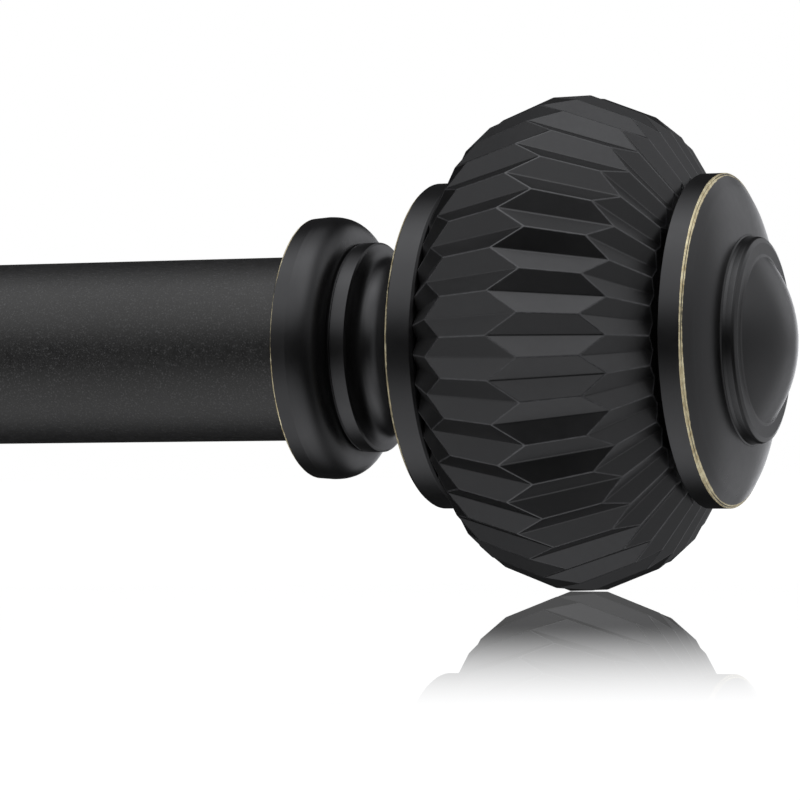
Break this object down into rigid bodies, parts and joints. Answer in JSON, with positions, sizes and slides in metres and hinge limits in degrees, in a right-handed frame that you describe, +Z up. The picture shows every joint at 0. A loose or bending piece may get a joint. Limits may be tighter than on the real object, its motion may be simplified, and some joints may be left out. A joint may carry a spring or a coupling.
{
  "type": "telescoping curtain rod with finials and wall brackets",
  "caption": "Telescoping black curtain rod with fluted drum finials and adjustable wall brackets that carry it clear of the wall.",
  "frame": {"origin": "centre of the right bracket's wall face", "axes": "+X along the rod towards the right finial, +Y into the wall, +Z up"},
  "size_m": [0.8464, 0.1284, 0.0668],
  "materials": {
    "tube_black": "satin black powder coat with a fine sparkle",
    "finial_lacquer": "smooth satin black lacquer, rubbed through to brass at its sharp edges",
    "drum_resin": "cast resin, satin black lacquer",
    "bracket_black": "satin black powder coat",
    "black_steel": "black oxide",
    "zinc": "zinc plated",
    "nylon": "natural nylon",
    "black_nylon": "black nylon"
  },
  "bodies": {
    "right_wall": {"right_wall_plate": "bracket_black", "right_arm_tube": "bracket_black", "right_arm_collar": "bracket_black", "right_grub_screw": "black_steel", "right_lock_screw": "black_steel"},
    "right_arm": {"right_arm_bar": "bracket_black", "right_cradle": "bracket_black", "right_cradle_screw": "black_steel"},
    "right_pad": {"right_thumb_pad": "nylon"},
    "right_thumb": {"right_thumb_screw": "bracket_black"},
    "rod": {"outer_tube": "tube_black", "mouth_liner": "black_nylon", "right_tube_plug": "zinc"},
    "right_finial_slide": {"right_finial_washer": "nylon"},
    "right_finial": {"right_neck": "finial_lacquer", "right_rear_plate": "finial_lacquer", "right_drum": "drum_resin", "right_front_plate": "finial_lacquer", "right_dome_button": "finial_lacquer", "right_stud": "zinc", "right_clamp_nut": "zinc", "right_lock_washer": "zinc"},
    "inner": {"inner_tube": "tube_black", "inner_glide": "nylon", "left_tube_plug": "zinc", "left_reducer": "finial_lacquer"},
    "left_finial_slide": {"left_finial_washer": "nylon"},
    "left_finial": {"left_neck": "finial_lacquer", "left_rear_plate": "finial_lacquer", "left_drum": "drum_resin", "left_front_plate": "finial_lacquer", "left_dome_button": "finial_lacquer", "left_stud": "zinc", "left_clamp_nut": "zinc", "left_lock_washer": "zinc"},
    "left_arm": {"left_arm_bar": "bracket_black", "left_cradle": "bracket_black", "left_cradle_screw": "black_steel"},
    "left_pad": {"left_thumb_pad": "nylon"},
    "left_thumb": {"left_thumb_screw": "bracket_black"},
    "left_wall": {"left_wall_plate": "bracket_black", "left_arm_tube": "bracket_black", "left_arm_collar": "bracket_black", "left_grub_screw": "black_steel", "left_lock_screw": "black_steel"}
  },
  "joints": [
    {"name": "right_projection", "type": "slide", "parent": "right_wall", "child": "right_arm", "axis": [0, -1, 0], "range_m": [-0.01, 0.025]},
    {"name": "right_pad_travel", "type": "slide", "parent": "right_arm", "child": "right_pad", "axis": [0, -1, 0], "range_m": [0, 0.005]},
    {"name": "right_thumb_turn", "type": "hinge", "parent": "right_pad", "child": "right_thumb", "pos_m": [0, -0.115, 0], "axis": [0, -1, 0], "range_deg": [0, 2250]},
    {"name": "rod_shift", "type": "slide", "parent": "right_arm", "child": "rod", "axis": [1, 0, 0], "range_m": [-0.1, 0.1]},
    {"name": "right_finial_travel", "type": "slide", "parent": "rod", "child": "right_finial_slide", "axis": [1, 0, 0], "range_m": [0, 0.01]},
    {"name": "right_finial_turn", "type": "hinge", "parent": "right_finial_slide", "child": "right_finial", "pos_m": [0.172, -0.095, 0], "axis": [1, 0, 0], "range_deg": [0, 2880]},
    {"name": "telescope", "type": "slide", "parent": "rod", "child": "inner", "axis": [-1, 0, 0], "range_m": [0, 0.508]},
    {"name": "left_finial_travel", "type": "slide", "parent": "inner", "child": "left_finial_slide", "axis": [-1, 0, 0], "range_m": [0, 0.01]},
    {"name": "left_finial_turn", "type": "hinge", "parent": "left_finial_slide", "child": "left_finial", "pos_m": [-0.6158, -0.095, 0], "axis": [-1, 0, 0], "range_deg": [0, 2880]},
    {"name": "left_bracket_shift", "type": "slide", "parent": "inner", "child": "left_arm", "axis": [-1, 0, 0], "range_m": [-0.1, 0.1]},
    {"name": "left_pad_travel", "type": "slide", "parent": "left_arm", "child": "left_pad", "axis": [0, -1, 0], "range_m": [0, 0.005]},
    {"name": "left_thumb_turn", "type": "hinge", "parent": "left_pad", "child": "left_thumb", "pos_m": [-0.4438, -0.115, 0], "axis": [0, -1, 0], "range_deg": [0, 2250]},
    {"name": "left_projection", "type": "slide", "parent": "left_arm", "child": "left_wall", "axis": [0, 1, 0], "range_m": [-0.01, 0.025]}
  ],
  "couplings": [
    {"joint": "right_pad_travel", "follows": "right_thumb_turn", "m_per_rad": 0.00012732},
    {"joint": "left_pad_travel", "follows": "left_thumb_turn", "m_per_rad": 0.00012732},
    {"joint": "right_finial_travel", "follows": "right_finial_turn", "m_per_rad": 0.00019894},
    {"joint": "left_finial_travel", "follows": "left_finial_turn", "m_per_rad": 0.00019894},
    {"joint": "left_projection", "follows": "right_projection", "ratio": 1}
  ]
}
